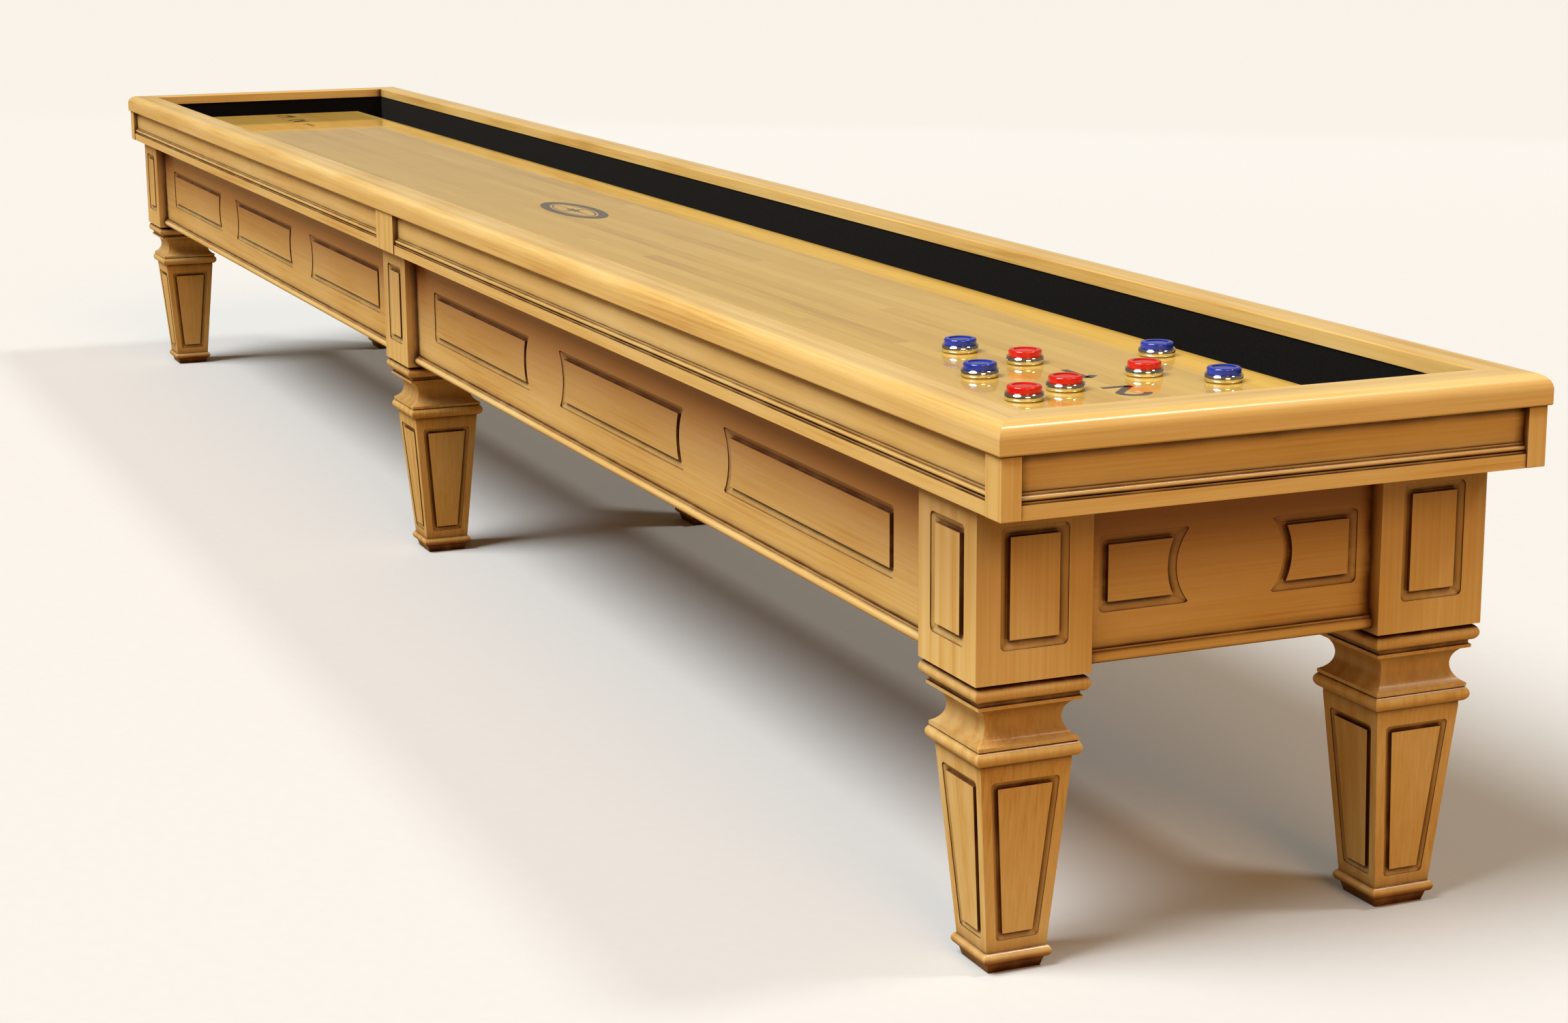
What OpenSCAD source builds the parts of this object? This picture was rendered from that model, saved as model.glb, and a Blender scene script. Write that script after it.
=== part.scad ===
// Shuffleboard table with a glazed maple cabinet, a maple playfield and eight pucks.
// X runs along the table with the near end at +X, Y runs across it, Z is up from the floor.

/* [Table] */
// Overall length of the cap rail
table_l = 5820; // [5400:10:6600]
// Overall width of the cap rail
table_w = 851; // [840:1:900]
// Height of the top of the cap rail
table_h = 800; // [780:1:840]

/* [Cap rail] */
// Width of the cap rail
cap_w = 75; // [70:1:90]
// Thickness of the cap rail at its outer edge
cap_t = 44; // [40:1:50]
// Thickness of the lip above the gutter wall
cap_lip_t = 24; // [18:1:30]
// Radius of the upper outer edge
cap_round = 22; // [10:1:28]
// Radius of the small edges
cap_ease = 3; // [1:0.5:4]

/* [Playfield] */
// Length of the playfield
field_l = 5486; // [5200:1:5500]
// Width of the playfield
field_w = 508; // [480:1:520]
// Thickness of the playfield
field_t = 70; // [60:1:76]
// Radius of its top edges
field_ease = 4; // [1:0.5:6]

/* [Cradle] */
// Thickness of the cradle walls
wall_t = 25; // [20:1:28]
// Thickness of the gutter carpet
carpet_t = 3; // [2:0.5:4]
// Set-back of the carpet behind the lip of the cap
carpet_inset = 2; // [0:0.5:4]
// Thickness of the gutter floors
floor_t = 12; // [9:1:15]
// Gap between the playfield and the gutter floors
floor_gap = 4; // [2:1:8]
// Gap left in the butt joints of boards and carpet strips
joint_gap = 0.3; // [0.2:0.1:0.6]
// Number of cross beams, an even number
beams = 10; // [6:2:10]
// Width of a cross beam
beam_w = 38; // [30:1:50]
// Depth of a cross beam
beam_h = 70; // [50:1:90]

/* [Frieze] */
// Height of the frieze boards
frieze_h = 86; // [80:1:95]
// Set-back of the frieze boards behind the cap's edge
frieze_inset = 16; // [12:1:20]
// Set-back of the corner and middle blocks behind the cap's edge
block_inset = 5; // [3:1:8]
// Length of a corner block along the table
corner_block_x = 44; // [40:1:50]
// Width of a corner block across the table
corner_block_y = 30; // [28:1:40]
// Length of a middle block
mid_block_l = 134; // [100:1:150]
// Height of the moulding strip
moulding_h = 35; // [33:1:38]
// Height of the plain fascia below the moulding's bead
fascia_h = 20; // [16:1:22]

/* [Posts and aprons] */
// Width of a leg post
post_w = 174; // [160:1:180]
// Height of the bottom of the posts
post_z = 425; // [415:1:440]
// Overhang of the cap beyond the corner posts at the ends
post_end = 107; // [95:1:130]
// Overhang of the cap beyond the posts at the sides
post_side = 23.5; // [22:0.5:28]
// Set-back of the aprons behind the posts
apron_inset = 25; // [15:1:28]
// Thickness of the aprons
apron_t = 22; // [18:1:25]
// Height of the bottom of the aprons
apron_z = 431; // [428:1:440]
// Height of the bead strip
bead_h = 19; // [14:1:24]

/* [Panels] */
// Height of an apron panel
panel_h = 107; // [90:1:120]
// Height of the middle of the apron panels
panel_z = 553; // [540:1:565]
// Length of a panel on the long sides
side_panel_l = 642; // [560:1:650]
// Gap between the panels on the long sides
side_panel_gap = 176; // [150:1:190]
// Length of a panel at the ends
end_panel_l = 141; // [110:1:145]
// Distance from the middle of the end apron to the far side of a panel
end_panel_reach = 205; // [180:1:210]
// How far a curved panel end is hollowed
panel_hollow = 21; // [12:1:28]
// Width of a post panel
post_panel_w = 102; // [90:1:110]
// Height of a post panel
post_panel_h = 168; // [150:1:180]
// Height of the middle of the post panels
post_panel_z = 554; // [545:1:560]

/* [Legs] */
// Half width of the shaft under the lower collar
shaft_top = 69; // [60:1:72]
// Half width of the shaft above the ankle bead
shaft_bottom = 46; // [40:1:50]
// Height of the top of the shaft
shaft_z1 = 300; // [280:1:310]
// Height of the bottom of the shaft
shaft_z0 = 32; // [28:1:40]
// Margin between the shaft's edges and its panels
leg_panel_margin = 15; // [12:1:18]

/* [Pucks] */
// Diameter of a puck
puck_d = 57; // [54:0.1:58.7]
// Height of the steel weight
weight_h = 13; // [12:0.5:15]
// Height of the whole puck
puck_h = 22; // [20:0.5:24]

/* [Hidden] */

$fn = 48;
eps = 1;

// Heights of the cabinet's layers
cap_z = table_h - cap_t;
lip_z = table_h - cap_lip_t;
deck_z = cap_z - frieze_h;
field_z = deck_z + field_t;
carpet_z = deck_z + floor_t;

// Half sizes of the cabinet's rings, as [along X, along Y]
half_cap = [table_l / 2, table_w / 2];
half_carpet = half_cap - [1, 1] * (cap_w - carpet_inset);
half_wall = half_carpet + [1, 1] * carpet_t;
half_frieze_back = half_wall + [1, 1] * wall_t;
half_frieze = half_cap - [1, 1] * frieze_inset;
half_block = half_cap - [1, 1] * block_inset;
half_field = [field_l / 2, field_w / 2];

// Posts and aprons
half_post_face = half_cap - [post_end, post_side];
leg_x = half_post_face[0] - post_w / 2;
leg_y = half_post_face[1] - post_w / 2;
post_h = deck_z - post_z;
half_apron = half_post_face - [1, 1] * apron_inset;
apron_h = deck_z - apron_z;
bay_l = leg_x - post_w;
bay_x = leg_x / 2;
end_bay_l = 2 * leg_y - post_w;
bead_base = 4;
bead_r = 7.5;

// Routed panels: width of the cut band, its depth at the field and the step at its outer edge
panel_cut = [14, 6, 1.6];
leg_cut = [10, 4.5, 1.2];
panel_corner = 8;
side_panel = [side_panel_l, side_panel_l] / 2;
end_panel = [end_panel_l, end_panel_l] / 2;
post_panel = [post_panel_w, post_panel_w] / 2;
leg_panel_corner = 6;
leg_panel_z = [48, 282];

// Leg mouldings: heights and half widths
foot_top = 14;
foot_bottom_w = 40;
foot_top_w = 44;
ankle_r = 9;
ankle_w = 52;
collar_r = 12;
lower_collar_w = 80;
lower_collar_z = 319;
upper_collar_w = 87;
upper_collar_z = 411;
neck_w = 58;
neck_z = 362;
neck_r = 29;
neck_ends = [331, 393];
fillet_w = 76;
fillet_h = 5;
bolt_r = 6;
bolt_z = [350, 500];
bolt_clear = 0.3;

// Levelers, screwed fully in so that the wooden feet stand on the floor
pad_r = 22;
pad_t = 5;
pad_rise = 0.5;
stem_r = 5;
stem_top = 60;
pad_clear = 2;
thread_clear = 0.05;

// Adjusters under the playfield
adjuster_x = [-1650, 0, 1650];
adjuster_drop = 35;
bracket_y = 200;
bracket_w = 60;
bracket_t = 5;
bracket_foot = 40;
rod_r = 6;
rod_inner = 20;
nut_h = 10;
nut_r = 11;
barrel_l = 120;
barrel_r = 14;
screw_r = 3;
screw_l = 32;
screw_head_r = 6.5;
screw_head_h = 4;

// Puck details
cap_lip_r = 25.5;
recess_r = 22;
recess_h = 5;
cap_gap = 0.2;
weight_edge = 1.5;

// Leg names follow the order of these places
leg_places = [[leg_x, -leg_y], [0, -leg_y], [-leg_x, -leg_y],
  [leg_x, leg_y], [0, leg_y], [-leg_x, leg_y]];

// Resting places of the pucks on the playfield
blue_places = [[2082, -67], [2292, -139], [2243, 192], [2481, 166]];
red_places = [[2219, -25], [2490, -169], [2445, -78], [2386, 87]];

maple = "#CDA264";
field_maple = "#D8BC6A";
glaze_maple = "#B98A4E";
spruce = "#D9BF8F";
plywood = "#C9A877";
carpet_black = "#141212";
zinc = "#A9ADB2";
chrome = "#D4D7DA";
puck_blue = "#1C2F96";
puck_red = "#C8201C";
pad_black = "#2A2A2C";

// Points of a circular arc
function arc(centre, r, a0, a1, n) =
  [for (i = [0:n]) centre + r * [cos(a0 + (a1 - a0) * i / n), sin(a0 + (a1 - a0) * i / n)]];

// Outline of a symmetric trapezoid with rounded corners, as [bottom, top] half widths
function trapezoid(half, h, r) =
  let (lean = atan((half[1] - half[0]) / h),
    low = half[0] - r * (1 - sin(lean)) / cos(lean),
    high = half[1] - r * (1 + sin(lean)) / cos(lean))
  concat(arc([low, -h / 2 + r], r, -90, -lean, 5), arc([high, h / 2 - r], r, -lean, 90, 5),
    arc([-high, h / 2 - r], r, 90, 180 + lean, 5), arc([-low, -h / 2 + r], r, 180 + lean, 270, 5));

// Turns a shape drawn in XY so that it stands on a side: 0 is -Y, 90 is +X, 180 is +Y, 270 is -X
module on_side(turn, lean = 0) {
  rotate([0, 0, turn]) rotate([90 + lean, 0, 0]) children();
}

// Copies a shape to both long sides
module both_sides() {
  for (turn = [0, 180]) rotate(turn) children();
}

// Section of the wood left along a panel's edge: a step, then a slope down to the floor of the cut
module ramp_section(cut) {
  run = 0.8 * cut[0] * (cut[1] - cut[2] + eps) / (cut[1] - cut[2]);
  polygon([[-eps, -cut[1] - eps], [-eps, -cut[2]], [0, -cut[2]], [run, -cut[1] - eps]]);
}

// Straight ramp along X, with the panel's edge at Y = 0
module ramp(l, cut) {
  rotate([90, 0, 90]) linear_extrude(l, center = true) ramp_section(cut);
}

// Radius of a hollowed panel end
function hollow_r(h) = (h * h / 4 + panel_hollow * panel_hollow) / (2 * panel_hollow);

// Cutter for a raised panel in XY, with its [bottom, top] half widths; a hollow end is curved inwards
module panel_cutter(half, h, cut, corner, hollow_left = false, hollow_right = false) {
  lean = atan((half[1] - half[0]) / h);
  middle = (half[0] + half[1]) / 2;
  inset = [cut[0] / cos(lean) - cut[0] * tan(lean), cut[0] / cos(lean) + cut[0] * tan(lean)];
  r = hollow_r(h);
  centre = half[1] - panel_hollow + r;
  hollows = [if (hollow_left) -1, if (hollow_right) 1];
  straight = [if (!hollow_left) -1, if (!hollow_right) 1];
  left = half - (hollow_left ? [0, 0] : inset);
  right = half - (hollow_right ? [0, 0] : inset);
  field_y = h / 2 - cut[0];
  difference() {
    translate([0, 0, -cut[1]]) linear_extrude(cut[1] + eps) difference() {
      polygon(trapezoid(half, h, corner));
      for (side = hollows) translate([side * centre, 0]) circle(r, $fn = 96);
    }
    for (turn = [0, 180]) rotate(turn) translate([0, -h / 2, 0]) ramp(3 * half[1], cut);
    for (side = straight) translate([side * middle, 0, 0]) rotate(side * (90 - lean)) ramp(1.5 * h, cut);
    for (side = hollows) translate([side * centre, 0, 0])
      rotate_extrude($fn = 96) translate([r, 0]) ramp_section(cut);
    translate([0, 0, -cut[1] - eps]) linear_extrude(cut[1] + 3 * eps) difference() {
      polygon([[-left[0], -field_y], [right[0], -field_y], [right[1], field_y], [-left[1], field_y]]);
      for (side = hollows) translate([side * centre, 0]) circle(r + cut[0], $fn = 96);
    }
  }
}

// Removes the outside of a rounded corner at the origin, for a shape in the given quadrant
module corner_off(r, turn) {
  rotate(turn) difference() {
    translate([-eps, -eps]) square(r + eps);
    translate([r, r]) circle(r);
  }
}

// Section of the cap rail: X from its outer edge inwards, Y up from its underside
module cap_section() {
  difference() {
    square([cap_w, cap_t]);
    translate([cap_w - carpet_inset - carpet_t - wall_t, -eps])
      square([cap_w, cap_t - cap_lip_t + eps]);
    translate([0, cap_t]) corner_off(cap_round, -90);
    corner_off(cap_ease, 0);
    translate([cap_w, cap_t]) corner_off(cap_ease, 180);
  }
}

// One mitred length of cap rail along the side at -Y, for the given half sizes
module cap_rail(half) {
  color(maple) translate([0, 0, cap_z]) intersection() {
    translate([0, -half[1], 0]) rotate([90, 0, 90]) linear_extrude(2 * half[0], center = true)
      cap_section();
    linear_extrude(cap_t) polygon([[-half[0], -half[1]], [half[0], -half[1]],
      [half[0] - cap_w, cap_w - half[1]], [cap_w - half[0], cap_w - half[1]]]);
  }
}

// A board from one corner to the opposite one
module board(low, high) {
  translate(low) cube(high - low);
}

module playfield() {
  color(field_maple) translate([0, 0, deck_z]) rotate([90, 0, 90])
    linear_extrude(field_l, center = true) difference() {
      translate([-field_w / 2, 0]) square([field_w, field_t]);
      translate([-field_w / 2, field_t]) corner_off(field_ease, -90);
      translate([field_w / 2, field_t]) corner_off(field_ease, 180);
    }
}

module cross_beams() {
  pitch = bay_l * 2 / beams;
  half_w = half_apron[1] - apron_t;
  color(spruce) for (side = [-1, 1]) for (i = [0:beams / 2 - 1])
    translate([side * (post_w / 2 + pitch * (i + 0.5)) - beam_w / 2, -half_w, deck_z - beam_h])
      cube([beam_w, 2 * half_w, beam_h]);
}

module gutter_floors() {
  low = half_field + [1, 1] * floor_gap;
  reach = low[1] - joint_gap;
  color(plywood) {
    both_sides() board([-half_wall[0], -half_wall[1], deck_z], [half_wall[0], -low[1], carpet_z]);
    both_sides() board([low[0], -reach, deck_z], [half_wall[0], reach, carpet_z]);
  }
}

module gutter_carpet() {
  low = half_field + [1, 1] * floor_gap;
  edge = half_carpet - [1, 1] * joint_gap;
  reach = low[1] - joint_gap;
  top = carpet_z + carpet_t;
  color(carpet_black) {
    both_sides() board([-edge[0], -edge[1], carpet_z], [edge[0], -low[1], top]);
    both_sides() board([low[0], -reach, carpet_z], [edge[0], reach, top]);
    both_sides() board([-edge[0], -half_wall[1], carpet_z], [edge[0], -half_carpet[1], lip_z]);
    both_sides() board([half_carpet[0], -half_wall[1], carpet_z],
      [half_wall[0], half_wall[1], lip_z]);
  }
}

module cradle_walls() {
  reach = half_wall[1] - joint_gap;
  color(plywood) {
    both_sides() board([-half_frieze_back[0], -half_frieze_back[1], deck_z],
      [half_frieze_back[0], -half_wall[1], lip_z]);
    both_sides() board([half_wall[0], -reach, deck_z], [half_frieze_back[0], reach, lip_z]);
  }
}

// Frieze of one long side in two boards, which meet behind the middle block
module frieze_side(turn) {
  end = half_block[0] - corner_block_x;
  color(maple) rotate(turn) for (x = [-end, joint_gap])
    board([x, -half_frieze[1], deck_z], [x + end - joint_gap, -half_frieze_back[1], cap_z]);
}

module frieze_end(turn) {
  reach = half_block[1] - corner_block_y;
  color(maple) rotate(turn) board([half_frieze_back[0], -reach, deck_z],
    [half_frieze[0], reach, cap_z]);
}

// Moulding strip along X whose back lies at Y = 0, facing -Y
module moulding_strip(l) {
  bead = 4;
  translate([0, 0, deck_z]) rotate([90, 0, 90]) mirror([1, 0]) linear_extrude(l) union() {
    square([frieze_inset - block_inset - 2, fascia_h]);
    square([frieze_inset - block_inset - 5, fascia_h + 3]);
    square([2, moulding_h]);
    intersection() {
      translate([2.5, fascia_h + 7.5]) circle(bead);
      translate([0, fascia_h]) square([2 * bead, moulding_h - fascia_h]);
    }
  }
}

module frieze_moulding() {
  end = half_block[0] - corner_block_x;
  reach = half_block[1] - corner_block_y;
  color(maple) both_sides() {
    for (x = [-end, mid_block_l / 2]) translate([x, -half_frieze[1], 0])
      moulding_strip(end - mid_block_l / 2);
    rotate(90) translate([-reach, -half_frieze[0], 0]) moulding_strip(2 * reach);
  }
}

module corner_blocks() {
  color(maple) for (x = [-half_block[0], half_block[0] - corner_block_x])
    for (y = [-half_block[1], half_block[1] - corner_block_y])
      translate([x, y, deck_z]) cube([corner_block_x, corner_block_y, frieze_h]);
}

module mid_blocks() {
  color(maple) both_sides() board([-mid_block_l / 2, -half_block[1], deck_z],
    [mid_block_l / 2, -half_frieze[1], cap_z]);
}

// Apron of one bay at -Y; the panel next to the outer post has its straight end there
module apron_side(turn) {
  pitch = side_panel_l + side_panel_gap;
  color(glaze_maple) rotate(turn) difference() {
    board([post_w / 2, -half_apron[1], apron_z],
      [leg_x - post_w / 2, apron_t - half_apron[1], deck_z]);
    for (i = [-1:1]) translate([bay_x + i * pitch, -half_apron[1], panel_z])
      on_side(0) panel_cutter(side_panel, panel_h, panel_cut, panel_corner, i > -1, i < 1);
  }
}

// The same apron mirrored to the other half of its side
module apron_side_mirrored(turn) {
  mirror([1, 0, 0]) apron_side(turn);
}

module apron_end(turn) {
  place = end_panel_reach - end_panel_l / 2;
  color(glaze_maple) rotate(turn) difference() {
    board([half_apron[0] - apron_t, -end_bay_l / 2, apron_z],
      [half_apron[0], end_bay_l / 2, deck_z]);
    for (side = [-1, 1]) translate([half_apron[0], side * place, panel_z])
      on_side(90) panel_cutter(end_panel, panel_h, panel_cut, panel_corner, side > 0, side < 0);
  }
}

// Bead strip along X whose back lies at Y = 0, facing -Y
module bead_strip(l) {
  translate([0, 0, apron_z]) rotate([90, 0, 90]) mirror([1, 0]) linear_extrude(l) union() {
    square([bead_base, bead_h]);
    intersection() {
      translate([bead_base - 1, bead_h / 2 - 1]) circle(bead_r);
      translate([bead_base / 2, 0]) square([2 * bead_r, bead_h]);
    }
  }
}

module apron_beads() {
  color(maple) both_sides() {
    for (x = [post_w / 2 - leg_x, post_w / 2]) translate([x, -half_apron[1], 0]) bead_strip(bay_l);
    rotate(90) translate([-end_bay_l / 2, -half_apron[0], 0]) bead_strip(end_bay_l);
  }
}

// Leg post with routed panels on the given sides and a blind hole for the leg bolt
module post(turns) {
  color(maple) difference() {
    translate([-post_w / 2, -post_w / 2, post_z]) cube([post_w, post_w, post_h]);
    translate([0, 0, post_z - eps]) cylinder(bolt_z[1] - post_z + 6, r = bolt_r + bolt_clear);
    for (turn = turns) rotate(turn) translate([0, -post_w / 2, post_panel_z])
      on_side(0) panel_cutter(post_panel, post_panel_h, panel_cut, panel_corner);
  }
}

module corner_posts() {
  translate([leg_x, -leg_y, 0]) post([0, 90]);
  translate([leg_x, leg_y, 0]) post([90, 180]);
  translate([-leg_x, leg_y, 0]) post([180, 270]);
  translate([-leg_x, -leg_y, 0]) post([270, 0]);
}

module mid_posts() {
  translate([0, -leg_y, 0]) post([0]);
  translate([0, leg_y, 0]) post([180]);
}

// Rounded square slab in section: half width, middle height and edge radius
module bullnose(w, z, r) {
  translate([-w + r, z - r]) square([2 * (w - r), 2 * r]);
  for (side = [-1, 1]) translate([side * (w - r), z]) circle(r);
}

// Section of the leg in the XZ plane
module leg_section() {
  polygon([[-foot_bottom_w, 0], [foot_bottom_w, 0], [foot_top_w, foot_top], [-foot_top_w, foot_top]]);
  bullnose(ankle_w, foot_top + ankle_r, ankle_r);
  polygon([[-shaft_bottom, shaft_z0 - eps], [shaft_bottom, shaft_z0 - eps],
    [shaft_top, shaft_z1], [shaft_top, lower_collar_z], [-shaft_top, lower_collar_z],
    [-shaft_top, shaft_z1]]);
  bullnose(lower_collar_w, lower_collar_z, collar_r);
  difference() {
    translate([-fillet_w, neck_ends[0] - eps]) square([2 * fillet_w, neck_ends[1] - neck_ends[0] + eps]);
    for (side = [-1, 1]) translate([side * (neck_w + neck_r), neck_z]) circle(neck_r);
  }
  translate([-fillet_w - 3, neck_ends[1] - fillet_h]) square([2 * fillet_w + 6, fillet_h]);
  translate([-fillet_w, neck_ends[1] - eps]) square([2 * fillet_w, post_z - neck_ends[1] + eps]);
  bullnose(upper_collar_w, upper_collar_z, collar_r);
}

// Square leg: the section along both directions, with routed panels, bolt hole and leveler hole
module leg(i) {
  lean = atan((shaft_top - shaft_bottom) / (shaft_z1 - shaft_z0));
  z = (leg_panel_z[0] + leg_panel_z[1]) / 2;
  half_at = [for (h = [leg_panel_z[0], z, leg_panel_z[1]])
    shaft_bottom + (h - shaft_z0) * tan(lean)];
  half = [half_at[0] - leg_panel_margin, half_at[2] - leg_panel_margin];
  color(maple) translate(leg_places[i]) difference() {
    intersection() {
      rotate([90, 0, 0]) linear_extrude(2 * upper_collar_w, center = true) leg_section();
      rotate([90, 0, 90]) linear_extrude(2 * upper_collar_w, center = true) leg_section();
    }
    for (turn = [0:90:270]) rotate(turn) translate([0, -half_at[1], z])
      on_side(0, lean)
        panel_cutter(half, (leg_panel_z[1] - leg_panel_z[0]) / cos(lean), leg_cut, leg_panel_corner);
    translate([0, 0, bolt_z[0] - 6]) cylinder(post_z - bolt_z[0] + 6 + eps, r = bolt_r + bolt_clear);
    translate([0, 0, -eps]) cylinder(stem_top + 6 + eps, r = stem_r + thread_clear);
    translate([0, 0, -eps]) cylinder(pad_rise + pad_t + 0.5 + eps, r = pad_r + pad_clear);
  }
}

module leg_bolts() {
  color(zinc) for (place = leg_places) translate([place[0], place[1], bolt_z[0]])
    cylinder(bolt_z[1] - bolt_z[0], r = bolt_r);
}

// Leveler: a pad on a threaded stem
module leveler(i) {
  color(pad_black) translate([leg_places[i][0], leg_places[i][1], pad_rise]) {
    cylinder(pad_t, r = pad_r);
    cylinder(stem_top - pad_rise, r = stem_r);
  }
}

module at_adjusters() {
  for (x = adjuster_x) translate([x, 0, deck_z]) children();
}

module adjuster_brackets() {
  color(zinc) at_adjusters() both_sides() difference() {
    union() {
      translate([-bracket_w / 2, -bracket_y - bracket_t, -adjuster_drop - 20])
        cube([bracket_w, bracket_t, adjuster_drop + 20]);
      translate([-bracket_w / 2, -bracket_y - bracket_t, -bracket_t])
        cube([bracket_w, bracket_foot, bracket_t]);
    }
    translate([0, -bracket_y + eps, -adjuster_drop]) rotate([90, 0, 0])
      cylinder(bracket_t + 2 * eps, r = rod_r + bolt_clear);
    for (side = [-1, 1]) translate([side * bracket_w / 4, bracket_foot / 2 - bracket_y, -bracket_t - eps])
      cylinder(bracket_t + 2 * eps, r = screw_r + bolt_clear);
  }
}

// Threaded rods, each held in its bracket by a nut on either side
module adjuster_rods() {
  reach = bracket_y + bracket_t + 2 * nut_h;
  color(zinc) at_adjusters() both_sides() translate([0, 0, -adjuster_drop]) rotate([90, 0, 0]) {
    translate([0, 0, rod_inner]) cylinder(reach - rod_inner, r = rod_r);
    for (y = [bracket_y - nut_h, bracket_y + bracket_t]) translate([0, 0, y])
      cylinder(nut_h, r = nut_r, $fn = 6);
  }
}

module adjuster_screws() {
  color(zinc) at_adjusters() both_sides() for (side = [-1, 1])
    translate([side * bracket_w / 4, bracket_foot / 2 - bracket_y, -bracket_t]) {
      translate([0, 0, -screw_head_h]) cylinder(screw_head_h, r = screw_head_r, $fn = 6);
      cylinder(screw_l, r = screw_r);
    }
}

// Hexagonal turnbuckle barrel on the two rods
module adjuster_barrel(i) {
  color(zinc) translate([adjuster_x[i], 0, deck_z - adjuster_drop]) rotate([90, 0, 0]) difference() {
    cylinder(barrel_l, r = barrel_r, center = true, $fn = 6);
    cylinder(barrel_l + 2 * eps, r = rod_r + thread_clear, center = true);
  }
}

// Steel weight with eased edges, a recess for the cap and a hollow underside
module puck_weight(place) {
  r = puck_d / 2;
  color(chrome) translate([place[0], place[1], field_z]) rotate_extrude() difference() {
    polygon([[0, 0], [r - weight_edge, 0], [r, weight_edge], [r, weight_h - weight_edge],
      [r - weight_edge, weight_h], [0, weight_h]]);
    translate([-eps, weight_h - recess_h]) square([recess_r + eps, recess_h + eps]);
    translate([-eps, -eps]) square([recess_r - 2 + eps, weight_edge + eps]);
  }
}

// Plastic cap: a spigot in the weight's recess and a rounded rim around a shallow dish
module puck_cap(place, shade) {
  rim = 3;
  color(shade) translate([place[0], place[1], field_z]) rotate_extrude() difference() {
    union() {
      translate([0, weight_h - recess_h + cap_gap]) square([recess_r - cap_gap, recess_h]);
      translate([0, weight_h]) square([cap_lip_r, puck_h - weight_h - rim]);
      translate([0, weight_h]) square([cap_lip_r - rim, puck_h - weight_h]);
      translate([cap_lip_r - rim, puck_h - rim]) circle(rim);
    }
    translate([-2 * cap_lip_r, 0]) square([2 * cap_lip_r, puck_h]);
    translate([-eps, puck_h - 1.5]) square([cap_lip_r - 2.5 * rim + eps, rim]);
  }
}

playfield();
cross_beams();
gutter_floors();
gutter_carpet();
cradle_walls();
cap_rail(half_cap);  // cap_rail_left
rotate(180) cap_rail(half_cap);  // cap_rail_right
rotate(90) cap_rail([half_cap[1], half_cap[0]]);  // cap_rail_near
rotate(270) cap_rail([half_cap[1], half_cap[0]]);  // cap_rail_far
frieze_side(0);  // frieze_left
frieze_side(180);  // frieze_right
frieze_end(0);  // frieze_near
frieze_end(180);  // frieze_far
frieze_moulding();
corner_blocks();
mid_blocks();
apron_side(0);  // apron_left_near
apron_side_mirrored(0);  // apron_left_far
apron_side_mirrored(180);  // apron_right_near
apron_side(180);  // apron_right_far
apron_end(0);  // apron_near_end
apron_end(180);  // apron_far_end
apron_beads();
corner_posts();
mid_posts();
leg(0);  // leg_left_near
leg(1);  // leg_left_mid
leg(2);  // leg_left_far
leg(3);  // leg_right_near
leg(4);  // leg_right_mid
leg(5);  // leg_right_far
leg_bolts();
adjuster_brackets();
adjuster_rods();
adjuster_screws();
leveler(0);  // leveler_1
leveler(1);  // leveler_2
leveler(2);  // leveler_3
leveler(3);  // leveler_4
leveler(4);  // leveler_5
leveler(5);  // leveler_6
adjuster_barrel(0);  // adjuster_barrel_1
adjuster_barrel(1);  // adjuster_barrel_2
adjuster_barrel(2);  // adjuster_barrel_3
puck_weight(blue_places[0]);  // puck_blue_1_weight
puck_weight(blue_places[1]);  // puck_blue_2_weight
puck_weight(blue_places[2]);  // puck_blue_3_weight
puck_weight(blue_places[3]);  // puck_blue_4_weight
puck_weight(red_places[0]);  // puck_red_1_weight
puck_weight(red_places[1]);  // puck_red_2_weight
puck_weight(red_places[2]);  // puck_red_3_weight
puck_weight(red_places[3]);  // puck_red_4_weight
puck_cap(blue_places[0], puck_blue);  // puck_blue_1_cap
puck_cap(blue_places[1], puck_blue);  // puck_blue_2_cap
puck_cap(blue_places[2], puck_blue);  // puck_blue_3_cap
puck_cap(blue_places[3], puck_blue);  // puck_blue_4_cap
puck_cap(red_places[0], puck_red);  // puck_red_1_cap
puck_cap(red_places[1], puck_red);  // puck_red_2_cap
puck_cap(red_places[2], puck_red);  // puck_red_3_cap
puck_cap(red_places[3], puck_red);  // puck_red_4_cap
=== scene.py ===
import math

import bmesh
import bpy
from mathutils import Matrix, Vector


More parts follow.
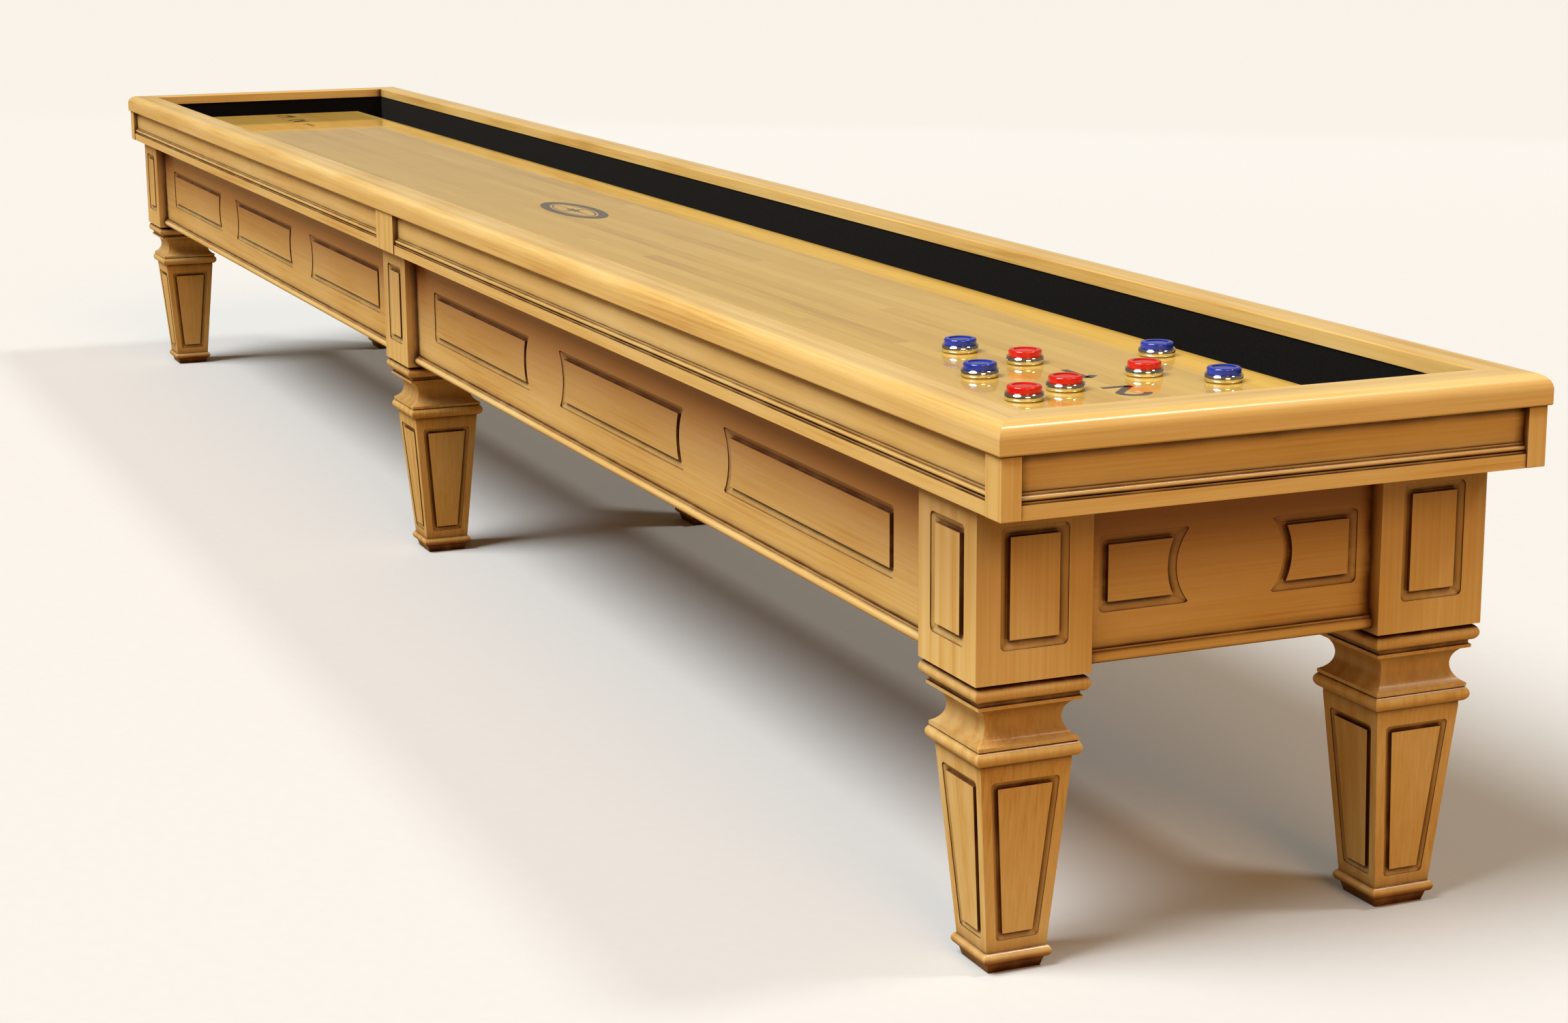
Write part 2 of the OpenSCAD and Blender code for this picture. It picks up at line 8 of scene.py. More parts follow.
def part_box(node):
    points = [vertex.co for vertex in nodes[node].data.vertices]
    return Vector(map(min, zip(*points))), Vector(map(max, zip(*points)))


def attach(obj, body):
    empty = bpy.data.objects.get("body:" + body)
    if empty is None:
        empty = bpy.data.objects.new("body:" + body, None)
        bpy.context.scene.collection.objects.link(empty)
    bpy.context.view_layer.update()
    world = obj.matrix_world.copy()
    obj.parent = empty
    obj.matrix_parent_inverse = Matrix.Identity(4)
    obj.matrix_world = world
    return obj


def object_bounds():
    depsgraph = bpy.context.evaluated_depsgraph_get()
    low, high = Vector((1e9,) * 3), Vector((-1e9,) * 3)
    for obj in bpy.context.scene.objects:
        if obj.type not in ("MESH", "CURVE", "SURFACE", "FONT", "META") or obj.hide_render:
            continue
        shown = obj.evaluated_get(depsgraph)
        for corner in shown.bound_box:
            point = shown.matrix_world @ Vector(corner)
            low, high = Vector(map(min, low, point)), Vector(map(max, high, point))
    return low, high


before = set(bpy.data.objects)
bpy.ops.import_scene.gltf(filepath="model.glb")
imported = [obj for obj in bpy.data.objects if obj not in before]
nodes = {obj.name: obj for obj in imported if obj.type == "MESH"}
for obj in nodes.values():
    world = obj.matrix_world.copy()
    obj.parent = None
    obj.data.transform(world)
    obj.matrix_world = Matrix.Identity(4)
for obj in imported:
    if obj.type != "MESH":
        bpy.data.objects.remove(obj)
cadLow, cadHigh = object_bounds()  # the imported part's own box
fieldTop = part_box("playfield")[1].z
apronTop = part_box("apron_left_near")[1].z
print("frame loaded:", len(nodes), "nodes")


# Camera
camera = {
    "place": (6.0594, -2.0588, 1.4890),  # metres
    "azimuth": 66.970,  # degrees, 0 looks along +Y
    "elevation": 12.734,
    "roll": -0.389,
    "lens": 66.02,  # mm on a 36 mm wide sensor
}


def makeCamera():
    made = bpy.data.objects.new("camera", bpy.data.cameras.new("camera"))
    bpy.context.scene.collection.objects.link(made)
    made.data.lens = camera["lens"]
    made.data.sensor_width = 36.0
    made.data.clip_start = 0.05
    made.data.clip_end = 500.0
    turn = math.radians(camera["azimuth"])
    tilt = math.radians(camera["elevation"])
    roll = math.radians(camera["roll"])
    back = Vector((math.sin(turn) * math.cos(tilt), -math.cos(turn) * math.cos(tilt), math.sin(tilt)))
    level = Vector((math.cos(turn), math.sin(turn), 0.0))
    above = back.cross(level)
    right = math.cos(roll) * level + math.sin(roll) * above
    up = math.cos(roll) * above - math.sin(roll) * level
    made.matrix_world = Matrix.Translation(camera["place"]) @ Matrix((right, up, back)).transposed().to_4x4()
    bpy.context.scene.camera = made


makeCamera()
print("camera made")


def linear(hexColour):
    # sRGB hex to the linear values that shaders use
    values = []
    for i in (1, 3, 5):
        part = int(hexColour[i:i + 2], 16) / 255.0
        values.append(part / 12.92 if part <= 0.04045 else ((part + 0.055) / 1.055) ** 2.4)
    return (*values, 1.0)


def addNode(tree, kind, inputs=None, out=0, **settings):
    # adds one shader node, sets it, links what is a socket, and gives back one of its outputs, if it has any
    made = tree.nodes.new("ShaderNode" + kind)
    for name, value in settings.items():
        setattr(made, name, value)
    for name, value in (inputs or {}).items():
        if isinstance(value, bpy.types.NodeSocket):
            tree.links.new(value, made.inputs[name])
        else:
            made.inputs[name].default_value = value
    return made.outputs[out] if len(made.outputs) else None


def newTree(name):
    material = bpy.data.materials.new(name)
    material.use_nodes = True
    material.node_tree.nodes.clear()
    return material, material.node_tree


# Hard maple: planed and sanded boards, brown glaze wiped off the flats, amber satin lacquer over it.
# The eye sees honey wood with faint lengthwise figure, warm painted shade towards the corners, under the cap
# and on the legs, and thin dark lines where the glaze stayed in them, drawn by an occlusion mask that also
# paints shade into inside corners.
maple = {
    "light": "#E4CC90",
    "middle": "#D6B36A",
    "dark": "#B47D32",
    "paintedShade": "#7A3A08",  # painted shade in sheltered places: inside corners, under overhangs, on the legs
    # brown glaze in grooves and joints, also used as painted shade in inside corners
    "glazeAndShade": "#421A05",
    "jump": (37.0, 5.0),  # how far apart in the wood two boards may be cut, along and across
    "paintedShadeReach": 0.06,  # metres out from a corner
    "glazeAndShadeReach": 0.018,
    "paintedShadowDepth": 0.25,  # metres of painted shadow down from the top of the aprons
    "lacquer": 0.5,  # share of the clear coat
}


def makeMaple(name, along, crossPast=None, paintedCapShadow=0.0, evenPaintedShade=0.0):
    material, tree = newTree(name)
    place = addNode(tree, "TexCoord", out=3)
    x = addNode(tree, "SeparateXYZ", {0: place}, 0)
    y = addNode(tree, "SeparateXYZ", {0: place}, 1)
    z = addNode(tree, "SeparateXYZ", {0: place}, 2)
    first, second, third = {"X": (x, y, z), "Y": (y, x, z), "Z": (z, x, y)}[along]
    grain = addNode(tree, "CombineXYZ", {0: first, 1: second, 2: third})  # along, across, across
    if crossPast is not None:
        # strips further out than this run across the table
        reach = addNode(tree, "Math", {0: x}, operation="ABSOLUTE")
        beyond = addNode(tree, "Math", {0: reach, 1: crossPast}, operation="GREATER_THAN")
        turned = addNode(tree, "CombineXYZ", {0: y, 1: x, 2: z})
        grain = addNode(tree, "Mix", {0: beyond, 4: grain, 5: turned}, 1, data_type="VECTOR")
    # every board starts at another spot of the log
    board = addNode(tree, "ObjectInfo", out=5)
    spotAlong = addNode(tree, "Math", {0: board, 1: maple["jump"][0]}, operation="MULTIPLY")
    spotAcross = addNode(tree, "Math", {0: board, 1: maple["jump"][1]}, operation="MULTIPLY")
    spot = addNode(tree, "CombineXYZ", {0: spotAlong, 1: spotAcross})
    grain = addNode(tree, "VectorMath", {0: grain, 1: spot}, operation="ADD")
    # fibres are 0.2 mm wide on maple, drawn 4 mm wide and 300 mm long so that they show
    fibrePlace = addNode(tree, "Mapping", {"Vector": grain, "Scale": (3.4, 230.0, 230.0)})
    fibre = addNode(tree, "TexNoise", {"Vector": fibrePlace, "Scale": 1.0, "Detail": 4.0, "Roughness": 0.55})
    # growth rings cut nearly flat, 20 to 60 mm apart, wandering along the board
    ringPlace = addNode(tree, "Mapping", {"Vector": grain, "Scale": (0.55, 11.0, 11.0)})
    ring = addNode(tree, "TexWave", {"Vector": ringPlace, "Scale": 0.8, "Distortion": 6.0, "Detail": 2.5,
                                     "Detail Scale": 0.7, "Detail Roughness": 0.5}, 1, bands_direction="Y")
    # mineral streaks and cloudy sapwood, 100 to 400 mm across
    cloudPlace = addNode(tree, "Mapping", {"Vector": grain, "Scale": (2.2, 6.0, 6.0)})
    cloud = addNode(tree, "TexNoise", {"Vector": cloudPlace, "Scale": 1.0, "Detail": 2.0})
    # ray flecks are 1 by 5 mm, drawn 2 by 12 mm
    fleckPlace = addNode(tree, "Mapping", {"Vector": grain, "Scale": (80.0, 430.0, 430.0)})
    fleck = addNode(tree, "TexVoronoi", {"Vector": fleckPlace, "Scale": 1.0})
    # glaze is wiped by hand, so it is blotchy over 30 to 70 mm
    blotchPlace = addNode(tree, "Mapping", {"Vector": grain, "Scale": (14.0, 32.0, 32.0)})
    blotch = addNode(tree, "TexNoise", {"Vector": blotchPlace, "Scale": 1.0, "Detail": 3.0})

    tone = addNode(tree, "MapRange", {0: fibre, 1: 0.32, 2: 0.68, 3: 0.10, 4: 0.42})
    ringTone = addNode(tree, "MapRange", {0: ring, 1: 0.0, 2: 1.0, 3: 0.0, 4: 0.22})
    cloudTone = addNode(tree, "MapRange", {0: cloud, 1: 0.3, 2: 0.7, 3: 0.0, 4: 0.34})
    tone = addNode(tree, "Math", {0: tone, 1: ringTone}, operation="ADD")
    tone = addNode(tree, "Math", {0: tone, 1: cloudTone}, operation="ADD")
    wood = addNode(tree, "ValToRGB", {0: tone})
    ramp = wood.node.color_ramp
    ramp.elements[0].color = linear(maple["dark"])
    ramp.elements[1].color = linear(maple["light"])
    ramp.elements[1].position = 0.92
    ramp.elements.new(0.40).color = linear(maple["middle"])
    flecked = addNode(tree, "MapRange", {0: fleck, 1: 0.0, 2: 0.25, 3: 0.20, 4: 0.0})
    wood = addNode(tree, "Mix", {0: flecked, 6: wood, 7: linear(maple["dark"])}, 2, data_type="RGBA")

    # painted shade: darker within reach of every inside corner and overhang, where shade falls
    sheltered = addNode(tree, "AmbientOcclusion", {"Distance": maple["paintedShadeReach"]}, "AO", samples=5)
    shadeAmount = addNode(tree, "MapRange", {0: sheltered, 1: 0.97, 2: 0.50, 3: 0.0, 4: 0.80})
    uneven = addNode(tree, "MapRange", {0: blotch, 1: 0.3, 2: 0.7, 3: 0.7, 4: 1.15})
    # painted shadow of the cap overhang: aprons and posts darken from their top edge down
    below = addNode(tree, "Math", {0: z, 1: apronTop + 0.0005}, operation="LESS_THAN")
    paintedShadow = addNode(tree, "MapRange", {0: z, 1: apronTop - maple["paintedShadowDepth"], 2: apronTop, 3: 0.0,
                                         4: paintedCapShadow}, interpolation_type="SMOOTHSTEP")
    paintedShadow = addNode(tree, "Math", {0: paintedShadow, 1: below}, operation="MULTIPLY")
    shadeAmount = addNode(tree, "Math", {0: shadeAmount, 1: uneven}, operation="MULTIPLY")
    shadeAmount = addNode(tree, "Math", {0: shadeAmount, 1: paintedShadow}, operation="MAXIMUM")
    # even painted shade over the whole part, which darkens the legs as the shade under the table would
    shadeAmount = addNode(tree, "Math", {0: shadeAmount, 1: evenPaintedShade}, operation="ADD", use_clamp=True)
    wood = addNode(tree, "Mix", {0: shadeAmount, 6: wood, 7: linear(maple["paintedShade"])}, 2, data_type="RGBA")
    # glaze left in grooves and joints, drawn with an occlusion mask, so partly painted shade: it darkens
    # every inside corner within reach, also between parts and where a foot meets the floor
    corner = addNode(tree, "AmbientOcclusion", {"Distance": maple["glazeAndShadeReach"]}, "AO", samples=8)
    lined = addNode(tree, "MapRange", {0: corner, 1: 0.98, 2: 0.56, 3: 0.0, 4: 1.0})
    lined = addNode(tree, "Math", {0: lined, 1: uneven}, operation="MULTIPLY", use_clamp=True)
    wood = addNode(tree, "Mix", {0: lined, 6: wood, 7: linear(maple["glazeAndShade"])}, 2, data_type="RGBA")

    sheen = addNode(tree, "MapRange", {0: fibre, 1: 0.3, 2: 0.7, 3: 0.34, 4: 0.46})
    raised = addNode(tree, "Bump", {"Height": fibre, "Strength": 0.10, "Distance": 0.0004})
    shader = addNode(tree, "BsdfPrincipled", {"Base Color": wood, "Roughness": sheen, "Normal": raised,
                                              "IOR": 1.5, "Specular IOR Level": 0.4,
                                              "Coat Weight": maple["lacquer"], "Coat Roughness": 0.16})
    addNode(tree, "OutputMaterial", {"Surface": shader})
    return material


# Playfield: edge-glued hard maple strips, sanded flat and flooded with clear polymer.
# The eye sees yellow strips, each of its own tone, under a wet coat that mirrors the pucks.
playfield = {
    "light": "#E0BE60",
    "middle": "#CEA848",
    "dark": "#AC8434",
    "stripWidth": 0.0318,  # metres, 1 1/4 in
    "blockLength": 1.15,
    "jump": (31.0, 7.0),  # how far apart in the wood two strips may be cut, along and across
}


def makePlayfieldMaple():
    material, tree = newTree("playfieldMaple")
    place = addNode(tree, "TexCoord", out=3)
    x = addNode(tree, "SeparateXYZ", {0: place}, 0)
    y = addNode(tree, "SeparateXYZ", {0: place}, 1)
    strip = addNode(tree, "Math", {0: y, 1: playfield["stripWidth"]}, operation="DIVIDE")
    row = addNode(tree, "Math", {0: strip}, operation="FLOOR")
    rowChance = addNode(tree, "TexWhiteNoise", {"W": row}, noise_dimensions="1D")
    length = addNode(tree, "Math", {0: x, 1: playfield["blockLength"]}, operation="DIVIDE")
    length = addNode(tree, "Math", {0: length, 1: rowChance}, operation="ADD")
    block = addNode(tree, "Math", {0: length}, operation="FLOOR")
    cell = addNode(tree, "CombineXYZ", {0: block, 1: row})
    chance = addNode(tree, "TexWhiteNoise", {"Vector": cell}, noise_dimensions="2D")
    spotAlong = addNode(tree, "Math", {0: chance, 1: playfield["jump"][0]}, operation="MULTIPLY")
    spotAcross = addNode(tree, "Math", {0: rowChance, 1: playfield["jump"][1]}, operation="MULTIPLY")
    spot = addNode(tree, "CombineXYZ", {0: spotAlong, 1: spotAcross})
    grain = addNode(tree, "VectorMath", {0: place, 1: spot}, operation="ADD")
    # fibres drawn 4 mm wide and 250 mm long, coarser than the real 0.2 mm
    fibrePlace = addNode(tree, "Mapping", {"Vector": grain, "Scale": (4.0, 250.0, 250.0)})
    fibre = addNode(tree, "TexNoise", {"Vector": fibrePlace, "Scale": 1.0, "Detail": 4.0, "Roughness": 0.6})
    figurePlace = addNode(tree, "Mapping", {"Vector": grain, "Scale": (1.8, 30.0, 30.0)})
    figure = addNode(tree, "TexNoise", {"Vector": figurePlace, "Scale": 1.0, "Detail": 2.0})
    tone = addNode(tree, "MapRange", {0: fibre, 1: 0.32, 2: 0.68, 3: 0.05, 4: 0.35})
    chanceTone = addNode(tree, "MapRange", {0: chance, 1: 0.0, 2: 1.0, 3: 0.0, 4: 0.42})
    figureTone = addNode(tree, "MapRange", {0: figure, 1: 0.3, 2: 0.7, 3: 0.0, 4: 0.24})
    tone = addNode(tree, "Math", {0: tone, 1: chanceTone}, operation="ADD")
    tone = addNode(tree, "Math", {0: tone, 1: figureTone}, operation="ADD")
    wood = addNode(tree, "ValToRGB", {0: tone})
    ramp = wood.node.color_ramp
    ramp.elements[0].color = linear(playfield["dark"])
    ramp.elements[1].color = linear(playfield["light"])
    ramp.elements[1].position = 0.95
    ramp.elements.new(0.38).color = linear(playfield["middle"])
    # glue lines are 0.2 mm, drawn 1 mm
    side = addNode(tree, "Math", {0: strip}, operation="FRACT")
    side = addNode(tree, "Math", {0: side, 1: 0.5}, operation="SUBTRACT")
    side = addNode(tree, "Math", {0: side}, operation="ABSOLUTE")
    glued = addNode(tree, "MapRange", {0: side, 1: 0.47, 2: 0.5, 3: 0.0, 4: 0.35})
    wood = addNode(tree, "Mix", {0: glued, 6: wood, 7: linear(playfield["dark"])}, 2, data_type="RGBA")
    dull = addNode(tree, "MapRange", {0: fibre, 1: 0.3, 2: 0.7, 3: 0.38, 4: 0.48})
    wavePlace = addNode(tree, "Mapping", {"Vector": place, "Scale": (2.0, 6.0, 6.0)})
    wave = addNode(tree, "TexNoise", {"Vector": wavePlace, "Scale": 1.0, "Detail": 1.0})
    poured = addNode(tree, "Bump", {"Height": wave, "Strength": 0.04, "Distance": 0.002})
    shader = addNode(tree, "BsdfPrincipled", {"Base Color": wood, "Roughness": dull, "IOR": 1.5,
                                              "Coat Weight": 0.9, "Coat Roughness": 0.045, "Coat IOR": 1.5,
                                              "Coat Normal": poured})
    addNode(tree, "OutputMaterial", {"Surface": shader})
    return material


# Needle-punched polyester carpet, glued to the gutter: a matt black pile that drinks light.
carpet = {"dark": "#030303", "light": "#110F0F", "tuft": 0.0021}


def makeCarpet():
    material, tree = newTree("blackCarpet")
    place = addNode(tree, "TexCoord", out=3)
    tuft = addNode(tree, "TexVoronoi", {"Vector": place, "Scale": 1.0 / carpet["tuft"]})
    fuzz = addNode(tree, "TexNoise", {"Vector": place, "Scale": 260.0, "Detail": 4.0, "Roughness": 0.65})
    pile = addNode(tree, "Math", {0: tuft, 1: fuzz}, operation="MULTIPLY")
    shade = addNode(tree, "MapRange", {0: pile, 1: 0.05, 2: 0.45, 3: 0.0, 4: 1.0})
    colour = addNode(tree, "Mix", {0: shade, 6: linear(carpet["dark"]), 7: linear(carpet["light"])}, 2,
                     data_type="RGBA")
    rough = addNode(tree, "MapRange", {0: fuzz, 1: 0.3, 2: 0.7, 3: 0.88, 4: 1.0})
    raised = addNode(tree, "Bump", {"Height": pile, "Strength": 0.7, "Distance": 0.0015})
    shader = addNode(tree, "BsdfPrincipled", {"Base Color": colour, "Roughness": rough, "Normal": raised,
                                              "Specular IOR Level": 0.1, "Sheen Weight": 0.03})
    addNode(tree, "OutputMaterial", {"Surface": shader})
    return material


# Bare shop wood out of sight: sanded birch plywood, and planed spruce with late-wood lines 3 mm apart.
bareWood = {
    "birchPlywood": ("#D2B27C", "#A98247", "X"),
    "planedSpruce": ("#DDBF86", "#B08547", "Y"),
}


def makeBareWood(name):
    light, dark, along = bareWood[name]
    material, tree = newTree(name)
    place = addNode(tree, "TexCoord", out=3)
    turn = (0.0, 0.0, 0.0) if along == "X" else (0.0, 0.0, math.pi / 2)
    grain = addNode(tree, "Mapping", {"Vector": place, "Rotation": turn})
    linePlace = addNode(tree, "Mapping", {"Vector": grain, "Scale": (2.0, 110.0, 110.0)})
    line = addNode(tree, "TexNoise", {"Vector": linePlace, "Scale": 1.0, "Detail": 3.0})
    ringPlace = addNode(tree, "Mapping", {"Vector": grain, "Scale": (0.4, 30.0, 30.0)})
    ring = addNode(tree, "TexWave", {"Vector": ringPlace, "Scale": 1.0, "Distortion": 5.0, "Detail": 2.0}, 1,
                   bands_direction="Y")
    tone = addNode(tree, "MapRange", {0: line, 1: 0.35, 2: 0.65, 3: 0.0, 4: 0.7})
    ringTone = addNode(tree, "MapRange", {0: ring, 1: 0.0, 2: 1.0, 3: 0.0, 4: 0.3})
    tone = addNode(tree, "Math", {0: tone, 1: ringTone}, operation="ADD")
    colour = addNode(tree, "Mix", {0: tone, 6: linear(dark), 7: linear(light)}, 2, data_type="RGBA")
    rough = addNode(tree, "MapRange", {0: line, 1: 0.3, 2: 0.7, 3: 0.62, 4: 0.8})
    raised = addNode(tree, "Bump", {"Height": line, "Strength": 0.25, "Distance": 0.0005})
    shader = addNode(tree, "BsdfPrincipled", {"Base Color": colour, "Roughness": rough, "Normal": raised,
                                              "IOR": 1.5})
    addNode(tree, "OutputMaterial", {"Surface": shader})
    return material


# Steel: bright zinc plate on the hardware, dull and slightly mottled;
# ground, polished and chrome-plated puck weights, which mirror the field and the dark gutter.
steel = {
    "zincPlatedSteel": ("#B4B8BA", "#8C9194", 0.40),
    "chromePlatedSteel": ("#E6E8EA", "#CFD3D6", 0.07),
}
weightSide = {
    "middle": fieldTop + 0.0060,  # metres, the widest place on a weight's side
    "crown": 85.0,  # how strongly the ground side is crowned, per metre
}


def makeSteel(name):
    light, dark, gloss = steel[name]
    material, tree = newTree(name)
    place = addNode(tree, "TexCoord", out=3)
    # turning and grinding marks 0.2 mm apart, drawn 1 mm
    markPlace = addNode(tree, "Mapping", {"Vector": place, "Scale": (50.0, 50.0, 900.0)})
    mark = addNode(tree, "TexNoise", {"Vector": markPlace, "Scale": 1.0, "Detail": 3.0})
    smudge = addNode(tree, "TexNoise", {"Vector": place, "Scale": 55.0, "Detail": 3.0})
    shade = addNode(tree, "MapRange", {0: smudge, 1: 0.35, 2: 0.65, 3: 0.0, 4: 1.0})
    colour = addNode(tree, "Mix", {0: shade, 6: linear(light), 7: linear(dark)}, 2, data_type="RGBA")
    rough = addNode(tree, "MapRange", {0: smudge, 1: 0.3, 2: 0.7, 3: 0.75 * gloss, 4: 1.3 * gloss})
    raised = addNode(tree, "Bump", {"Height": mark, "Strength": 0.05, "Distance": 0.0002})
    if name == "chromePlatedSteel":
        # the side is ground slightly barrel shaped: above the middle it mirrors the room, below it the field
        level = addNode(tree, "SeparateXYZ", {0: place}, 2)
        level = addNode(tree, "Math", {0: level, 1: weightSide["middle"]}, operation="SUBTRACT")
        crown = addNode(tree, "Math", {0: level, 1: level}, operation="MULTIPLY")
        crown = addNode(tree, "Math", {0: crown, 1: -weightSide["crown"]}, operation="MULTIPLY")
        raised = addNode(tree, "Bump", {"Height": crown, "Strength": 1.0, "Distance": 1.0, "Normal": raised})
    shader = addNode(tree, "BsdfPrincipled", {"Base Color": colour, "Roughness": rough, "Normal": raised,
                                              "Metallic": 1.0})
    addNode(tree, "OutputMaterial", {"Surface": shader})
    return material


# Puck caps: injection-moulded ABS, polished in the mould. The eye sees saturated colour, a crisp
# highlight round the rim and faint scuffs from hands and other pucks.
capPlastic = {
    "redAbs": ("#D21A14", "#A30F0C"),
    "blueAbs": ("#1E37AE", "#122472"),
}


def makeAbs(name):
    light, dark = capPlastic[name]
    material, tree = newTree(name)
    place = addNode(tree, "TexCoord", out=3)
    swirl = addNode(tree, "TexNoise", {"Vector": place, "Scale": 40.0, "Detail": 3.0})
    scuffPlace = addNode(tree, "Mapping", {"Vector": place, "Scale": (900.0, 130.0, 300.0),
                                           "Rotation": (0.0, 0.0, 0.6)})
    scuff = addNode(tree, "TexNoise", {"Vector": scuffPlace, "Scale": 1.0, "Detail": 4.0, "Roughness": 0.6})
    shade = addNode(tree, "MapRange", {0: swirl, 1: 0.35, 2: 0.7, 3: 0.0, 4: 0.35})
    colour = addNode(tree, "Mix", {0: shade, 6: linear(light), 7: linear(dark)}, 2, data_type="RGBA")
    rough = addNode(tree, "MapRange", {0: scuff, 1: 0.35, 2: 0.7, 3: 0.08, 4: 0.26})
    raised = addNode(tree, "Bump", {"Height": scuff, "Strength": 0.04, "Distance": 0.0002})
    shader = addNode(tree, "BsdfPrincipled", {"Base Color": colour, "Roughness": rough, "Normal": raised,
                                              "IOR": 1.54, "Coat Weight": 0.3, "Coat Roughness": 0.05})
    addNode(tree, "OutputMaterial", {"Surface": shader})
    return material


# Screen-printed ink in the playfield's polymer: dark brown, slightly thin in places,
# and as glossy as the field round it.
ink = {"full": "#2B1D12", "thin": "#4A3420"}


def makeInk():
    material, tree = newTree("screenPrintedInk")
    place = addNode(tree, "TexCoord", out=3)
    wornPlace = addNode(tree, "Mapping", {"Vector": place, "Scale": (60.0, 260.0, 1.0)})
    worn = addNode(tree, "TexNoise", {"Vector": wornPlace, "Scale": 1.0, "Detail": 4.0, "Roughness": 0.6})
    shade = addNode(tree, "MapRange", {0: worn, 1: 0.35, 2: 0.7, 3: 0.0, 4: 0.9})
    colour = addNode(tree, "Mix", {0: shade, 6: linear(ink["full"]), 7: linear(ink["thin"])}, 2,
                     data_type="RGBA")
    rough = addNode(tree, "MapRange", {0: worn, 1: 0.3, 2: 0.7, 3: 0.4, 4: 0.5})
    shader = addNode(tree, "BsdfPrincipled", {"Base Color": colour, "Roughness": rough, "IOR": 1.5,
                                              "Coat Weight": 0.9, "Coat Roughness": 0.045})
    addNode(tree, "OutputMaterial", {"Surface": shader})
    return material


finishes = {
    "mapleAlongX": makeMaple("glazedMapleAlongX", "X"),
    "mapleAlongY": makeMaple("glazedMapleAlongY", "Y"),
    "mapleAlongZ": makeMaple("glazedMapleAlongZ", "Z"),
    # the apron and post copies carry a painted shadow under the cap; the leg copy carries an even painted
    # shade
    "apronAlongX": makeMaple("glazedMapleApronX", "X", paintedCapShadow=0.95),
    "apronAlongY": makeMaple("glazedMapleApronY", "Y", paintedCapShadow=0.85),
    "maplePosts": makeMaple("glazedMaplePosts", "Z", paintedCapShadow=0.45),
    "mapleLegs": makeMaple("glazedMapleLegs", "Z", evenPaintedShade=0.10),
    "mapleMoulding": makeMaple("glazedMapleMoulding", "X", crossPast=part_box("frieze_near")[1].x),
    "mapleBeads": makeMaple("glazedMapleBeads", "X", crossPast=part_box("apron_near_end")[0].x),
    "field": makePlayfieldMaple(),
    "carpet": makeCarpet(),
    "plywood": makeBareWood("birchPlywood"),
    "spruce": makeBareWood("planedSpruce"),
    "zinc": makeSteel("zincPlatedSteel"),
    "chrome": makeSteel("chromePlatedSteel"),
    "red": makeAbs("redAbs"),
    "blue": makeAbs("blueAbs"),
    "ink": makeInk(),
}
print("materials made:", len(finishes))

# What each part of the frame is finished with, by the start of its name, and its eased edge in mm
dress = [
    ("playfield", "field", 0.0),
    ("cross_beams", "spruce", 1.0),
    ("gutter_floors", "plywood", 0.0),
    ("gutter_carpet", "carpet", 0.0),
    ("cradle_walls", "plywood", 0.0),
    ("cap_rail_left", "mapleAlongX", 0.0),
    ("cap_rail_right", "mapleAlongX", 0.0),
    ("cap_rail", "mapleAlongY", 0.0),
    ("frieze_left", "mapleAlongX", 0.6),
    ("frieze_right", "mapleAlongX", 0.6),
    ("frieze_moulding", "mapleMoulding", 0.5),
    ("frieze", "mapleAlongY", 0.6),
    ("corner_blocks", "mapleAlongZ", 1.2),
    ("mid_blocks", "mapleAlongZ", 1.2),
    ("apron_beads", "mapleBeads", 0.5),
    ("apron_left", "apronAlongX", 0.5),
    ("apron_right", "apronAlongX", 0.5),
    ("apron", "apronAlongY", 0.5),
    ("corner_posts", "maplePosts", 0.8),
    ("mid_posts", "maplePosts", 0.8),
    ("leg_bolts", "zinc", 0.0),
    ("leg_", "mapleLegs", 0.6),
    ("adjuster", "zinc", 0.5),
    ("leveler", "zinc", 0.0),
    ("puck_red", "red", 0.0),
    ("puck_blue", "blue", 0.0),
]


easing = {"mergeWithin": 0.00002, "segments": 2, "sharperThan": 35.0}  # metres, steps, degrees


def dressNode(name, piece):
    finish, eased = next((finish, eased) for start, finish, eased in dress if name.startswith(start))
    if name.endswith("_weight"):
        finish = "chrome"
    piece.data.materials.clear()
    piece.data.materials.append(finishes[finish])
    if eased:
        # sanded corners catch a thin line of light
        weld = piece.modifiers.new("weld", "WELD")
        weld.merge_threshold = easing["mergeWithin"]
        bevel = piece.modifiers.new("eased", "BEVEL")
        bevel.width = eased / 1000.0
        bevel.segments = easing["segments"]
        bevel.limit_method = "ANGLE"
        bevel.angle_limit = math.radians(easing["sharperThan"])
        bevel.use_clamp_overlap = True
        normals = piece.modifiers.new("normals", "WEIGHTED_NORMAL")
        normals.keep_sharp = True


for name, piece in nodes.items():
    dressNode(name, piece)
print("finishes given")


# Prints on the playfield, lying in its clear coat: an oval medallion and the scoring numerals
prints = {
    "medallionPlace": (0.035, 0.002),
    "medallionSize": (0.34, 0.108),  # along and across the table
    "numeralHeight": 0.078,
    "numeralWidth": 0.050,
    "stroke": 0.013,
    "numerals": {"3": 2.652, "2": 2.490, "1": 2.335},  # metres from the middle
    "sink": 0.00002,
    "rise": 0.00010,
}


